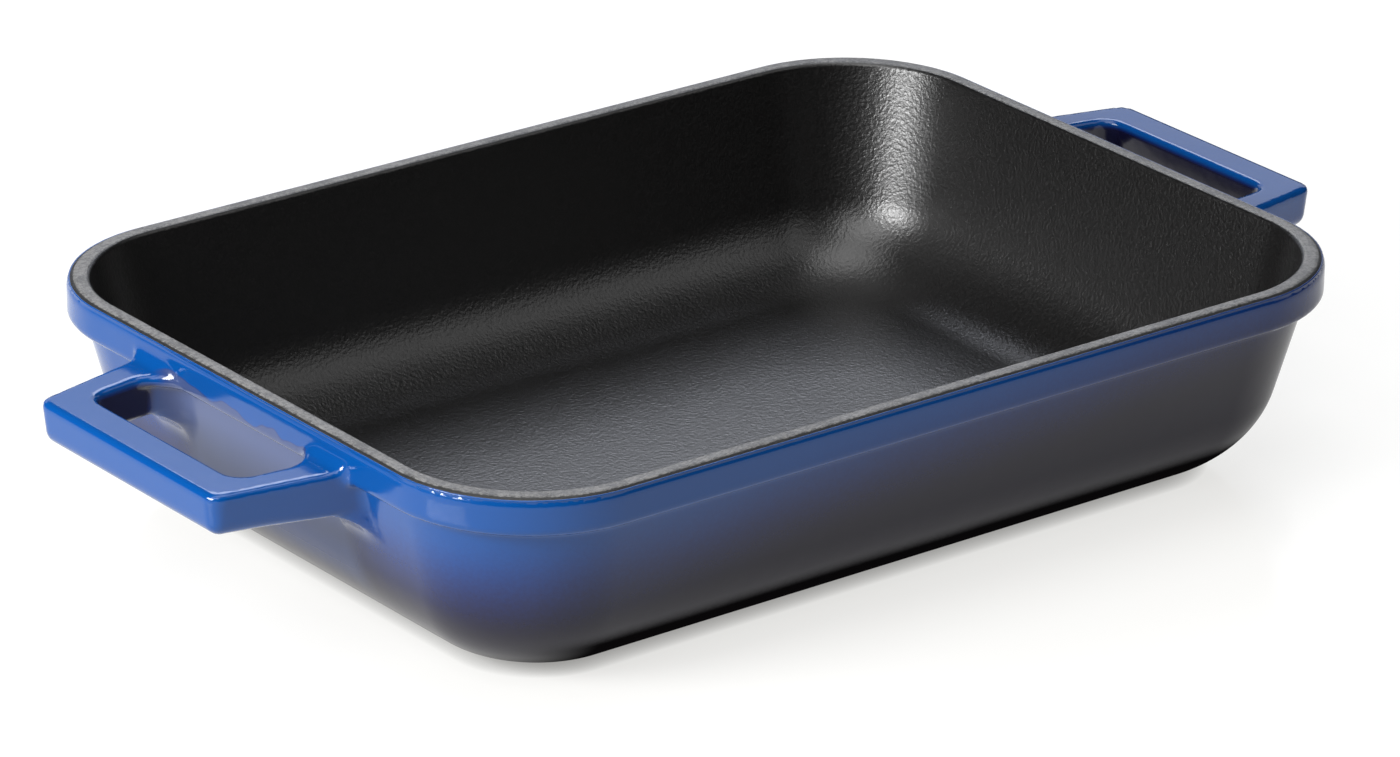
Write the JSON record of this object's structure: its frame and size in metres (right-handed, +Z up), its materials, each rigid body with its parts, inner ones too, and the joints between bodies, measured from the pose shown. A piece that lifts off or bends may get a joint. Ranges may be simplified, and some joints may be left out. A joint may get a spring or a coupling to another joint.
{
  "type": "roasting pan",
  "caption": "Rectangular enamelled cast iron roasting pan with rounded corners, drafted walls, a stepped band round the rim and a square loop handle at each end.",
  "frame": {"origin": "on the table, under the middle of the pan", "axes": "+X along the pan, through both handles; +Y across it; +Z up, out of the open top"},
  "size_m": [0.3724, 0.222, 0.0626],
  "materials": {
    "iron": "as cast",
    "blue_enamel": "gloss",
    "dark_enamel": "satin",
    "grey_enamel": "matte",
    "black_enamel": "satin"
  },
  "bodies": {
    "root": {"iron_casting": "iron", "exterior_enamel": "blue_enamel", "base_enamel": "dark_enamel", "rim_enamel": "grey_enamel", "interior_enamel": "black_enamel"}
  },
  "joints": []
}
